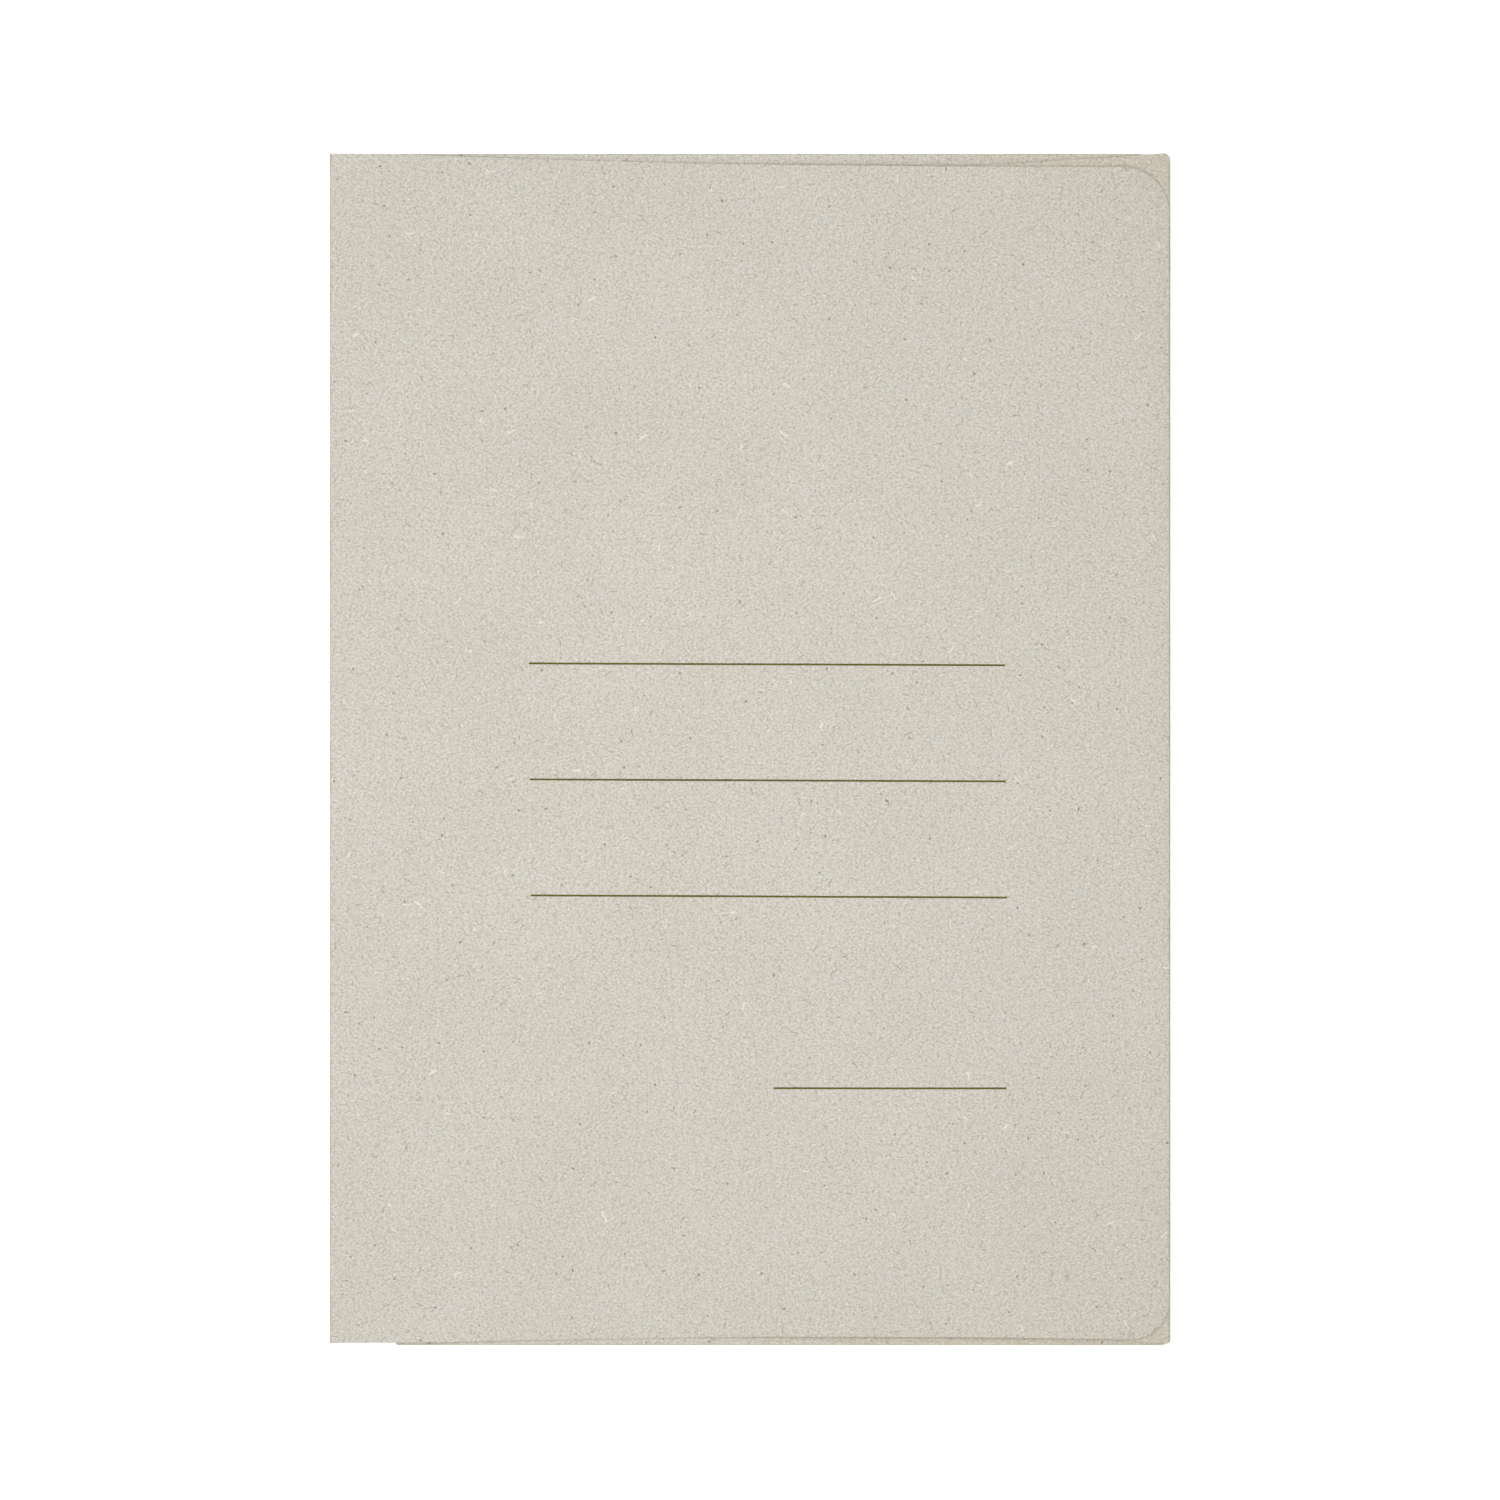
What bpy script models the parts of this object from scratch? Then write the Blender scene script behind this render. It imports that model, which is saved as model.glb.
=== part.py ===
"""Three-flap document folder, closed and empty, lying on its back with the cover on top.

One die-cut sheet of recycled board, scored and folded. The back panel lies on the table. The top and bottom
flaps fold in over it, the side flap folds in over them, and the cover turns over all three from the spine.
Metres, +Z up. The spine is on the left, at -X, the fore edge at +X and the folder's top at +Y. The origin is
at the middle of the underside.
"""

import math

import bmesh
import bpy
from mathutils import Vector

# Closed size, over the outsides of the folds
FOLDER_WIDTH = 0.2255
FOLDER_HEIGHT = 0.3200

# The sheet, the air between two layers of it, and the gap that parts a panel from its bend
BOARD = 0.0005
LAYER_GAP = 0.0003
BEND_GAP = 0.0003

# Inside radius of the two scores along the spine
SPINE_SCORE_RADIUS = 0.00015

# Where the hinge line of a folded flap lies, outwards from the fold's centre, as a share of the fold's mean
# radius
FOLD_LINE_SHARE = 0.6

# The cut ends of back, spine and cover stop this far inside the end folds
TOP_CUT_BACK = 0.0003
BOTTOM_CUT_BACK = 0.0009

# Front cover: it narrows towards the fore edge, where it stops just short of the side fold
COVER_TOP_TAPER = 0.0036
COVER_BOTTOM_TAPER = 0.0010
COVER_FORE_CUT_BACK = 0.0004
COVER_TOP_CORNER_RADIUS = 0.0128
COVER_BOTTOM_CORNER_RADIUS = 0.0105

# Top and bottom flaps: where their folds begin and end, and the slant of their ends
END_FLAP_DEPTH = 0.060
END_FLAP_FROM_SPINE = 0.0175
TOP_FLAP_FROM_FORE_EDGE = 0.0085
BOTTOM_FLAP_FROM_FORE_EDGE = 0.0025
END_FLAP_SPINE_SLANT = math.radians(38)
END_FLAP_FORE_SLANT = math.radians(45)
END_FLAP_CORNER_RADIUS = 0.010

# Side flap
SIDE_FLAP_DEPTH = 0.095
SIDE_FLAP_FROM_TOP = 0.0001
SIDE_FLAP_FROM_BOTTOM = 0.0006
SIDE_FLAP_TAPER = 0.006
SIDE_FLAP_CORNER_RADIUS = 0.012

# Corners of the back panel at the fore edge
BACK_CORNER_RADIUS = 0.0008

# Steps in a right angle: of a rounded corner, and of a bend
CORNER_STEPS = 12
BEND_STEPS = 8

# Planes of the closed folder
SPINE_X = -FOLDER_WIDTH / 2
FORE_X = FOLDER_WIDTH / 2
TOP_Y = FOLDER_HEIGHT / 2
BOTTOM_Y = -FOLDER_HEIGHT / 2
LAYER_PITCH = BOARD + LAYER_GAP
BACK_Z = 0.0
END_FLAP_Z = LAYER_PITCH
SIDE_FLAP_Z = 2 * LAYER_PITCH
COVER_Z = 3 * LAYER_PITCH
CUT_TOP_Y = TOP_Y - TOP_CUT_BACK
CUT_BOTTOM_Y = BOTTOM_Y + BOTTOM_CUT_BACK


def fold_radius(layer_z):
    """Mean radius of the half-round fold between the back and the layer whose underside is at layer_z."""
    return (layer_z - BACK_Z) / 2


def fold_middle(layer_z):
    """Height of that fold's centre."""
    return fold_radius(layer_z) + BOARD / 2


def fold_reach(layer_z):
    """How far that fold stands out from its centre."""
    return fold_radius(layer_z) + BOARD / 2


# Centres of the three folds, and the two spine scores
END_FOLD_REACH = fold_reach(END_FLAP_Z)
SIDE_FOLD_REACH = fold_reach(SIDE_FLAP_Z)
TOP_FOLD_Y = TOP_Y - END_FOLD_REACH
BOTTOM_FOLD_Y = BOTTOM_Y + END_FOLD_REACH
SIDE_FOLD_X = FORE_X - SIDE_FOLD_REACH
SCORE_MEAN_RADIUS = SPINE_SCORE_RADIUS + BOARD / 2
SCORE_REACH = SPINE_SCORE_RADIUS + BOARD
SCORE_X = SPINE_X + SCORE_REACH
BACK_SCORE_Z = SCORE_REACH
COVER_SCORE_Z = COVER_Z + BOARD - SCORE_REACH

# A spine score opens about a line half its own length outwards, so that it lies flat between its panels
SCORE_LINE_OFFSET = SCORE_MEAN_RADIUS * math.pi / 4

# The hinge lines, each as a point on it
SPINE_HINGE = Vector((SCORE_X - SCORE_LINE_OFFSET, 0, BACK_SCORE_Z - SCORE_LINE_OFFSET))
COVER_HINGE = Vector((SCORE_X - SCORE_LINE_OFFSET, 0, COVER_SCORE_Z + SCORE_LINE_OFFSET))
END_HINGE_OUT = FOLD_LINE_SHARE * fold_radius(END_FLAP_Z)
SIDE_HINGE = Vector((SIDE_FOLD_X + FOLD_LINE_SHARE * fold_radius(SIDE_FLAP_Z), 0, fold_middle(SIDE_FLAP_Z)))
TOP_HINGE = Vector((0, TOP_FOLD_Y + END_HINGE_OUT, fold_middle(END_FLAP_Z)))
BOTTOM_HINGE = Vector((0, BOTTOM_FOLD_Y - END_HINGE_OUT, fold_middle(END_FLAP_Z)))

# Where the panels stop
LEFT_EDGE_X = SCORE_X + BEND_GAP
RIGHT_EDGE_X = SIDE_FOLD_X - BEND_GAP
END_FLAP_LEFT_X = SPINE_X + END_FLAP_FROM_SPINE
TOP_FLAP_RIGHT_X = FORE_X - TOP_FLAP_FROM_FORE_EDGE
BOTTOM_FLAP_RIGHT_X = FORE_X - BOTTOM_FLAP_FROM_FORE_EDGE
SIDE_FLAP_TOP_Y = TOP_Y - SIDE_FLAP_FROM_TOP
SIDE_FLAP_BOTTOM_Y = BOTTOM_Y + SIDE_FLAP_FROM_BOTTOM


def board_material(name, hex_colour):
    """Uncoated recycled board: matt, not metallic."""
    values = [int(hex_colour[i : i + 2], 16) / 255 for i in (1, 3, 5)]
    linear = [v / 12.92 if v <= 0.04045 else ((v + 0.055) / 1.055) ** 2.4 for v in values]
    material = bpy.data.materials.new(name)
    material.use_nodes = True
    shader = material.node_tree.nodes["Principled BSDF"]
    shader.inputs["Base Color"].default_value = (*linear, 1.0)
    shader.inputs["Roughness"].default_value = 0.85
    shader.inputs["Metallic"].default_value = 0.0
    return material


def rounded(corners):
    """The outline through corners, each (x, y, radius), anticlockwise, with an arc where radius isn't 0."""
    points = []
    for i, (x, y, radius) in enumerate(corners):
        here = Vector((x, y))
        if radius == 0:
            points.append(here)
            continue
        before = (Vector(corners[i - 1][:2]) - here).normalized()
        after = (Vector(corners[(i + 1) % len(corners)][:2]) - here).normalized()
        half = before.angle(after) / 2
        centre = here + (before + after).normalized() * radius / math.sin(half)
        start = here + before * radius / math.tan(half) - centre
        turn = math.pi - 2 * half
        steps = max(1, round(CORNER_STEPS * turn / (math.pi / 2)))
        for step in range(steps + 1):
            angle = turn * step / steps
            cos, sin = math.cos(angle), math.sin(angle)
            points.append(centre + Vector((start.x * cos - start.y * sin, start.x * sin + start.y * cos)))
    return points


def finish(name, shape, hex_colour, origin, parent):
    """Turns shape, modelled in place, into the named object, with its origin at origin."""
    bmesh.ops.recalc_face_normals(shape, faces=shape.faces)
    bmesh.ops.translate(shape, verts=shape.verts, vec=-origin)
    mesh = bpy.data.meshes.new(name)
    shape.to_mesh(mesh)
    shape.free()
    mesh.shade_smooth()
    mesh.set_sharp_from_angle(angle=math.radians(30))
    mesh.materials.append(board_material(f"{name}_board", hex_colour))
    piece = bpy.data.objects.new(name, mesh)
    bpy.context.scene.collection.objects.link(piece)
    piece.location = origin
    if parent:
        piece.parent = parent
        piece.location = origin - hinge_of[parent.name]
    hinge_of[name] = origin
    return piece


def panel(name, corners, underside_z, hex_colour, origin, parent=None):
    """A flat piece of board cut to the outline through corners."""
    shape = bmesh.new()
    outline = [shape.verts.new((point.x, point.y, underside_z)) for point in rounded(corners)]
    sheet = shape.faces.new(outline)
    lifted = bmesh.ops.extrude_face_region(shape, geom=[sheet])["geom"]
    top = [v for v in lifted if isinstance(v, bmesh.types.BMVert)]
    bmesh.ops.translate(shape, verts=top, vec=(0, 0, BOARD))
    return finish(name, shape, hex_colour, origin, parent)


def bend(name, edge, centre, axis, angle, hex_colour, origin, parent):
    """Board bent round a line through centre along axis. edge is the cut across it where the bend begins."""
    shape = bmesh.new()
    cut = shape.faces.new([shape.verts.new(point) for point in edge])
    bmesh.ops.spin(
        shape,
        geom=[*shape.verts, *shape.edges, cut],
        cent=centre,
        axis=axis,
        angle=angle,
        steps=round(BEND_STEPS * abs(angle) / (math.pi / 2)),
    )
    return finish(name, shape, hex_colour, origin, parent)


def back_panel():
    """The back, notched at top and bottom where the end flaps fold over."""
    notch_left = END_FLAP_LEFT_X - BEND_GAP
    top_notch_right = TOP_FLAP_RIGHT_X + BEND_GAP
    bottom_notch_right = BOTTOM_FLAP_RIGHT_X + BEND_GAP
    corner_radius = min(BACK_CORNER_RADIUS, RIGHT_EDGE_X - bottom_notch_right)
    top_fold_edge = TOP_FOLD_Y - BEND_GAP
    bottom_fold_edge = BOTTOM_FOLD_Y + BEND_GAP
    corners = [
        (LEFT_EDGE_X, CUT_BOTTOM_Y, 0),
        (notch_left, CUT_BOTTOM_Y, 0),
        (notch_left, bottom_fold_edge, 0),
        (bottom_notch_right, bottom_fold_edge, 0),
        (bottom_notch_right, SIDE_FLAP_BOTTOM_Y, 0),
        (RIGHT_EDGE_X, SIDE_FLAP_BOTTOM_Y, corner_radius),
        (RIGHT_EDGE_X, SIDE_FLAP_TOP_Y, corner_radius),
        (top_notch_right, SIDE_FLAP_TOP_Y, 0),
        (top_notch_right, top_fold_edge, 0),
        (notch_left, top_fold_edge, 0),
        (notch_left, CUT_TOP_Y, 0),
        (LEFT_EDGE_X, CUT_TOP_Y, 0),
    ]
    return panel("back_panel", corners, BACK_Z, "#c8c1b3", Vector((0, 0, 0)))


def spine_strip(parent):
    """The narrow upright strip between the two scores."""
    low = BACK_SCORE_Z + BEND_GAP
    high = COVER_SCORE_Z - BEND_GAP
    shape = bmesh.new()
    outline = [
        (SPINE_X, CUT_BOTTOM_Y, low),
        (SPINE_X, CUT_TOP_Y, low),
        (SPINE_X, CUT_TOP_Y, high),
        (SPINE_X, CUT_BOTTOM_Y, high),
    ]
    sheet = shape.faces.new([shape.verts.new(point) for point in outline])
    moved = bmesh.ops.extrude_face_region(shape, geom=[sheet])["geom"]
    inner = [v for v in moved if isinstance(v, bmesh.types.BMVert)]
    bmesh.ops.translate(shape, verts=inner, vec=(BOARD, 0, 0))
    return finish("spine_strip", shape, "#cbc6b8", SPINE_HINGE, parent)


def spine_score(name, panel_z, centre_z, angle, parent):
    """The quarter bend between the spine strip and the panel whose underside is at panel_z."""
    edge = [
        (SCORE_X, CUT_BOTTOM_Y, panel_z),
        (SCORE_X, CUT_TOP_Y, panel_z),
        (SCORE_X, CUT_TOP_Y, panel_z + BOARD),
        (SCORE_X, CUT_BOTTOM_Y, panel_z + BOARD),
    ]
    centre = (SCORE_X, 0, centre_z)
    return bend(name, edge, centre, (0, 1, 0), angle, "#cbc6b8", hinge_of[parent.name], parent)


def front_cover(parent):
    """The cover. Its ends are cut at a slight slant, and its two corners at the fore edge are round."""
    right = FORE_X - COVER_FORE_CUT_BACK
    corners = [
        (LEFT_EDGE_X, CUT_BOTTOM_Y, 0),
        (right, CUT_BOTTOM_Y + COVER_BOTTOM_TAPER, COVER_BOTTOM_CORNER_RADIUS),
        (right, CUT_TOP_Y - COVER_TOP_TAPER, COVER_TOP_CORNER_RADIUS),
        (LEFT_EDGE_X, CUT_TOP_Y, 0),
    ]
    return panel("front_cover", corners, COVER_Z, "#d1cdc1", COVER_HINGE, parent)


def side_flap(parent):
    """The long flap at the fore edge, which lies over both end flaps."""
    free_edge = FORE_X - SIDE_FLAP_DEPTH
    corners = [
        (free_edge, SIDE_FLAP_BOTTOM_Y + SIDE_FLAP_TAPER, SIDE_FLAP_CORNER_RADIUS),
        (RIGHT_EDGE_X, SIDE_FLAP_BOTTOM_Y, 0),
        (RIGHT_EDGE_X, SIDE_FLAP_TOP_Y, 0),
        (free_edge, SIDE_FLAP_TOP_Y - SIDE_FLAP_TAPER, SIDE_FLAP_CORNER_RADIUS),
    ]
    return panel("side_flap", corners, SIDE_FLAP_Z, "#c9c3b5", SIDE_HINGE, parent)


def side_fold(parent):
    """The half-round fold between the back and the side flap."""
    edge = [
        (SIDE_FOLD_X, SIDE_FLAP_BOTTOM_Y, BACK_Z),
        (SIDE_FOLD_X, SIDE_FLAP_TOP_Y, BACK_Z),
        (SIDE_FOLD_X, SIDE_FLAP_TOP_Y, BACK_Z + BOARD),
        (SIDE_FOLD_X, SIDE_FLAP_BOTTOM_Y, BACK_Z + BOARD),
    ]
    centre = (SIDE_FOLD_X, 0, fold_middle(SIDE_FLAP_Z))
    return bend("side_fold", edge, centre, (0, -1, 0), math.pi, "#c7c0b1", hinge_of[parent.name], parent)


def end_flap(name, fold_y, right_x, inwards, origin, parent):
    """The top flap with inwards -1, or the bottom flap with inwards +1, under the side flap."""
    base = fold_y + inwards * BEND_GAP
    outer = fold_y - inwards * END_FOLD_REACH
    tip = outer + inwards * END_FLAP_DEPTH
    slanted = END_FLAP_DEPTH - END_FOLD_REACH
    tip_left = END_FLAP_LEFT_X + slanted * math.tan(END_FLAP_SPINE_SLANT)
    tip_right = right_x - slanted * math.tan(END_FLAP_FORE_SLANT)
    corners = [
        (END_FLAP_LEFT_X, base, 0),
        (right_x, base, 0),
        (tip_right, tip, END_FLAP_CORNER_RADIUS),
        (tip_left, tip, END_FLAP_CORNER_RADIUS),
    ]
    if inwards < 0:
        corners.reverse()
    return panel(name, corners, END_FLAP_Z, "#c9c3b5", origin, parent)


def end_fold(name, fold_y, right_x, inwards, parent):
    """The half-round fold between the back and an end flap."""
    edge = [
        (END_FLAP_LEFT_X, fold_y, BACK_Z),
        (right_x, fold_y, BACK_Z),
        (right_x, fold_y, BACK_Z + BOARD),
        (END_FLAP_LEFT_X, fold_y, BACK_Z + BOARD),
    ]
    centre = (0, fold_y, fold_middle(END_FLAP_Z))
    return bend(name, edge, centre, (-inwards, 0, 0), math.pi, "#c7c0b1", hinge_of[parent.name], parent)


for old in list(bpy.data.objects):
    bpy.data.objects.remove(old, do_unlink=True)

hinge_of = {}
back = back_panel()
spine = spine_strip(back)
spine_score("back_spine_score", BACK_Z, BACK_SCORE_Z, math.pi / 2, back)
spine_score("cover_spine_score", COVER_Z, COVER_SCORE_Z, -math.pi / 2, spine)
front_cover(spine)
side_flap(back)
side_fold(back)
end_flap("top_flap", TOP_FOLD_Y, TOP_FLAP_RIGHT_X, -1, TOP_HINGE, back)
end_fold("top_fold", TOP_FOLD_Y, TOP_FLAP_RIGHT_X, -1, back)
end_flap("bottom_flap", BOTTOM_FOLD_Y, BOTTOM_FLAP_RIGHT_X, 1, BOTTOM_HINGE, back)
end_fold("bottom_fold", BOTTOM_FOLD_Y, BOTTOM_FLAP_RIGHT_X, 1, back)
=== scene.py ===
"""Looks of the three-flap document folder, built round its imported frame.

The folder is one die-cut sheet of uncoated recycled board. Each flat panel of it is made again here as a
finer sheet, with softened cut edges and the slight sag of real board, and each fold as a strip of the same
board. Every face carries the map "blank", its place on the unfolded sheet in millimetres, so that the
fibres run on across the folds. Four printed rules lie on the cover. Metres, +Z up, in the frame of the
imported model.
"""

import math

import bmesh
import bpy
import numpy as np
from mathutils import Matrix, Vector, geometry, noise


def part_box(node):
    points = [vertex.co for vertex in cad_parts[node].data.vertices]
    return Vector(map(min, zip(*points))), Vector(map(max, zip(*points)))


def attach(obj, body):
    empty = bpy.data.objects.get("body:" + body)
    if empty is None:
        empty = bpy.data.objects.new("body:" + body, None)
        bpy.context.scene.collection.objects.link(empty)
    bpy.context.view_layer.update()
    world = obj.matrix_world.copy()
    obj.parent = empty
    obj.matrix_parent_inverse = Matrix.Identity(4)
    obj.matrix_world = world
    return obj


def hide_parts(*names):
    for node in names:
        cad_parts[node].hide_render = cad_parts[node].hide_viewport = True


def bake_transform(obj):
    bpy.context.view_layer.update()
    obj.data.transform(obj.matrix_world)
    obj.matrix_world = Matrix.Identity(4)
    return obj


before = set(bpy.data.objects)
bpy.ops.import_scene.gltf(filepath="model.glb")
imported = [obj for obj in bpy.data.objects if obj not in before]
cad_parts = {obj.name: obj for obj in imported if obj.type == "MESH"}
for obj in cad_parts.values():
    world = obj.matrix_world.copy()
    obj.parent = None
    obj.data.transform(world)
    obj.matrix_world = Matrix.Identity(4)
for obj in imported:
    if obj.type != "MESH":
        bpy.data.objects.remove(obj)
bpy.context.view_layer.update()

MM = 0.001

# The board, and the planes on which its folds begin, read from the frame
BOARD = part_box("back_panel")[1].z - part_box("back_panel")[0].z
SPINE_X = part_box("back_spine_score")[0].x
SCORE_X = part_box("back_spine_score")[1].x
BACK_SCORE_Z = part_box("back_spine_score")[1].z
COVER_SCORE_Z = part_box("cover_spine_score")[0].z
SIDE_FOLD_X, FORE_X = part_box("side_fold")[0].x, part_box("side_fold")[1].x
TOP_FOLD_Y, TOP_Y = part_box("top_fold")[0].y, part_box("top_fold")[1].y
BOTTOM_Y, BOTTOM_FOLD_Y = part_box("bottom_fold")[0].y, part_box("bottom_fold")[1].y
CUT_BOTTOM_Y, CUT_TOP_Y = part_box("spine_strip")[0].y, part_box("spine_strip")[1].y
SIDE_FLAP_LOW, SIDE_FLAP_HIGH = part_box("side_flap")

# Mean radii of the bends
SCORE_RADIUS = SCORE_X - SPINE_X - BOARD / 2
SIDE_RADIUS = FORE_X - SIDE_FOLD_X - BOARD / 2
END_RADIUS = TOP_Y - TOP_FOLD_Y - BOARD / 2

# A panel of the frame stops this far before its fold, and the sheet made from it goes on to the fold
FOLD_GAP = 0.3 * MM

# Planes and points of the frame that lie this close together are one
SAME_PLANE = 0.005 * MM
SAME_POINT = 0.001 * MM

# Points of the frame's outlines this near a corner at the fore edge belong to the rounding of that corner
CORNER_REACH = 0.9 * MM

# Rounding that the cutting die leaves along an edge, and how far its line wanders inwards, over what length
EDGE_SOFTNESS = 0.13 * MM
EDGE_STEPS = 3
CUT_WANDER = 0.10 * MM
CUT_WANDER_LENGTH = 14 * MM
CUT_STEP = 2.5 * MM

# Triangles inside a sheet are about this long
SHEET_STEP = 4.5 * MM

# Edges between faces that meet at more than this angle are shaded sharp
SHARP_ANGLE = math.radians(42)

# Radius and steps of the round corner at the top of the side fold
FORE_CORNER_RADIUS = 1.9 * MM
FORE_CORNER_STEPS = 6

# At its ends a fold's outer line stands back from its two panels. Towards the corners at the fore edge the
# top and the bottom fold go on past the ends of their solids, and there each has a setback of its own
FOLD_END_SETBACK = 0.5 * MM
TOP_FOLD_REACH = 0.2 * MM
TOP_FOLD_SETBACK = 0.0
BOTTOM_FOLD_REACH = 1.1 * MM
BOTTOM_FOLD_SETBACK = 0.7 * MM

# Bends: steps across a half turn and along the fold, the tongue hidden in each panel, and how deep the
# outer line is crushed and over what length that varies
BEND_STEPS = 24
BEND_LENGTH_STEP = 3 * MM
TONGUE = 0.4 * MM
TONGUE_INSET = 0.12 * MM
CRUSH = 0.035 * MM
CRUSH_LENGTH = 5 * MM

# How narrow the painted shade is along the outer line of a flap's fold, and of a score of the spine, where
# the bend turns away from the light
FOLD_SHADE_NARROWNESS = 1.5
SCORE_SHADE_NARROWNESS = 0.6

# The top and the bottom edge of the cover draw in this much between the spine and the fore edge
COVER_TOP_WAIST = 0.93 * MM
COVER_BOTTOM_WAIST = 1.05 * MM

# Near the spine the cover's top edge runs square, and further on it falls as the frame's does
COVER_TOP_SLOPE = 0.016
SQUARE_TO = 12 * MM
SLOPE_FROM = 32 * MM

# Painted warm shade on the back and the flaps, this far in from their folds, for the cover's shade and the
# warm light bounced between the layers: by the least share near the spine, and fully at the fore edge. At
# the top and at the bottom this painted shade rises between these two x
FOLD_SHADE_REACH = 30 * MM
LEAST_FOLD_SHADE = 0.2
TOP_FOLD_SHADE_RISE = (20 * MM, 105 * MM)
BOTTOM_FOLD_SHADE_RISE = (-40 * MM, 60 * MM)

# Painted warm shade on the cover along the fore edge, rising between these two distances from it, and round
# its two round corners, fading out over this distance. Each comes with how strong it is
COVER_EDGE_SHADE_SPAN = (9 * MM, 1 * MM)
COVER_EDGE_SHADE = 0.3
COVER_CORNER_SHADE_REACH = 70 * MM
COVER_CORNER_SHADE = 0.35

# Sag of the sheets at rest, downwards only. The cover sinks onto the end flaps where no side flap lies. An
# end flap reaches its full sag this far from its fold
COVER_HOLLOW = 0.90 * MM
COVER_SAG = 0.10 * MM
SIDE_FLAP_SAG = 0.45 * MM
END_FLAP_SAG = 0.20 * MM
END_FLAP_SAG_REACH = 15 * MM

# Printed rules, from the photograph: left end and height of the first, length, tilt in degrees, and the
# distance to the next, down and to the right. The ink stands RULE_FILM high. A rule's width varies by this
# share over this length, and it has a point at every step
RULE_WIDTH = 0.51 * MM
RULE_FILM = 0.012 * MM
RULE_UNEVENNESS = 0.5
RULE_UNEVEN_LENGTH = 2.2 * MM
RULE_STEP = 0.7 * MM
LONG_RULES = {"count": 3, "left": -59.4 * MM, "height": 23.11 * MM, "length": 127.65 * MM, "tilt": -0.24}
SHORT_RULE = {"count": 1, "left": 6.3 * MM, "height": -90.8 * MM, "length": 62.3 * MM, "tilt": 0.0}
RULE_PITCH = 31.12 * MM
RULE_DRIFT = 0.27 * MM

# The photograph: width that its frame takes in, and how far the folder's middle is off the frame's
VIEW_WIDTH = 402.7 * MM
VIEW_OFFSET = Vector((-0.05, -0.13)) * MM
LENS = 85
SENSOR = 36

# The floor lies a hair under the folder
FLOOR_SIZE = 16
FLOOR_Z = -0.05 * MM


def smooth(t):
    """0 to 1 with soft ends as t goes from 0 to 1."""
    t = min(1.0, max(0.0, t))
    return t * t * (3 - 2 * t)


def colour(hex_code):
    """Linear colour, with alpha, from an sRGB hex code."""
    values = [int(hex_code[i : i + 2], 16) / 255 for i in (1, 3, 5)]
    return (*(v / 12.92 if v <= 0.04045 else ((v + 0.055) / 1.055) ** 2.4 for v in values), 1.0)


def add(tree, kind, inputs=None, **settings):
    """Adds a node with its settings. An input is given a value, or a link where the value is a socket."""
    node = tree.nodes.new(kind)
    for name, value in settings.items():
        setattr(node, name, value)
    for key, value in (inputs or {}).items():
        if isinstance(value, bpy.types.NodeSocket):
            tree.links.new(value, node.inputs[key])
        else:
            node.inputs[key].default_value = value
    return node


# Materials


def scattered_marks(tree, place, label, cell, share, length, width, curl):
    """Mask of short strokes lying every way, in a share of the cells of the blank's map. Sizes in mm."""
    away = (cell * 31.7, max(length) * 117.3, 0)
    shifted = add(
        tree, "ShaderNodeVectorMath", {0: place, 1: away}, operation="ADD", label=label
    ).outputs[0]
    bends = add(
        tree,
        "ShaderNodeTexNoise",
        {"Vector": shifted, "Scale": 0.7 / max(length), "Detail": 1.0},
        noise_dimensions="2D",
    ).outputs["Color"]
    centred = add(
        tree, "ShaderNodeVectorMath", {0: bends, 1: (0.5, 0.5, 0.5)}, operation="SUBTRACT"
    ).outputs[0]
    curled = add(
        tree,
        "ShaderNodeVectorMath",
        {0: centred, 1: (curl, curl, 0), 2: shifted},
        operation="MULTIPLY_ADD",
    ).outputs[0]
    cells = add(
        tree,
        "ShaderNodeTexVoronoi",
        {"Vector": curled, "Scale": 1 / cell, "Randomness": 0.9},
        voronoi_dimensions="2D",
    )
    chance = add(tree, "ShaderNodeSeparateColor", {0: cells.outputs["Color"]})
    offset = add(
        tree, "ShaderNodeVectorMath", {0: curled, 1: cells.outputs["Position"]}, operation="SUBTRACT"
    ).outputs[0]
    angle = add(
        tree, "ShaderNodeMath", {0: chance.outputs["Red"], 1: math.tau}, operation="MULTIPLY"
    ).outputs[0]
    turned = add(
        tree, "ShaderNodeVectorRotate", {"Vector": offset, "Angle": angle}, rotation_type="Z_AXIS"
    ).outputs[0]
    along_across = add(tree, "ShaderNodeSeparateXYZ", {0: turned})
    half_length = add(
        tree,
        "ShaderNodeMapRange",
        {"Value": chance.outputs["Green"], "To Min": length[0] / 2, "To Max": length[1] / 2},
    ).outputs[0]
    inside = []
    for side, half in (("X", half_length), ("Y", width / 2)):
        distance = add(
            tree, "ShaderNodeMath", {0: along_across.outputs[side]}, operation="ABSOLUTE"
        ).outputs[0]
        left = add(tree, "ShaderNodeMath", {0: half, 1: distance}, operation="SUBTRACT").outputs[0]
        inside.append(
            add(
                tree,
                "ShaderNodeMapRange",
                {"Value": left, "From Min": -width / 4, "From Max": width / 4},
                interpolation_type="SMOOTHSTEP",
            ).outputs[0]
        )
    stroke = add(tree, "ShaderNodeMath", {0: inside[0], 1: inside[1]}, operation="MULTIPLY").outputs[0]
    chosen = add(
        tree, "ShaderNodeMath", {0: chance.outputs["Blue"], 1: share}, operation="LESS_THAN"
    ).outputs[0]
    return add(tree, "ShaderNodeMath", {0: stroke, 1: chosen}, operation="MULTIPLY").outputs[0]


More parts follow.
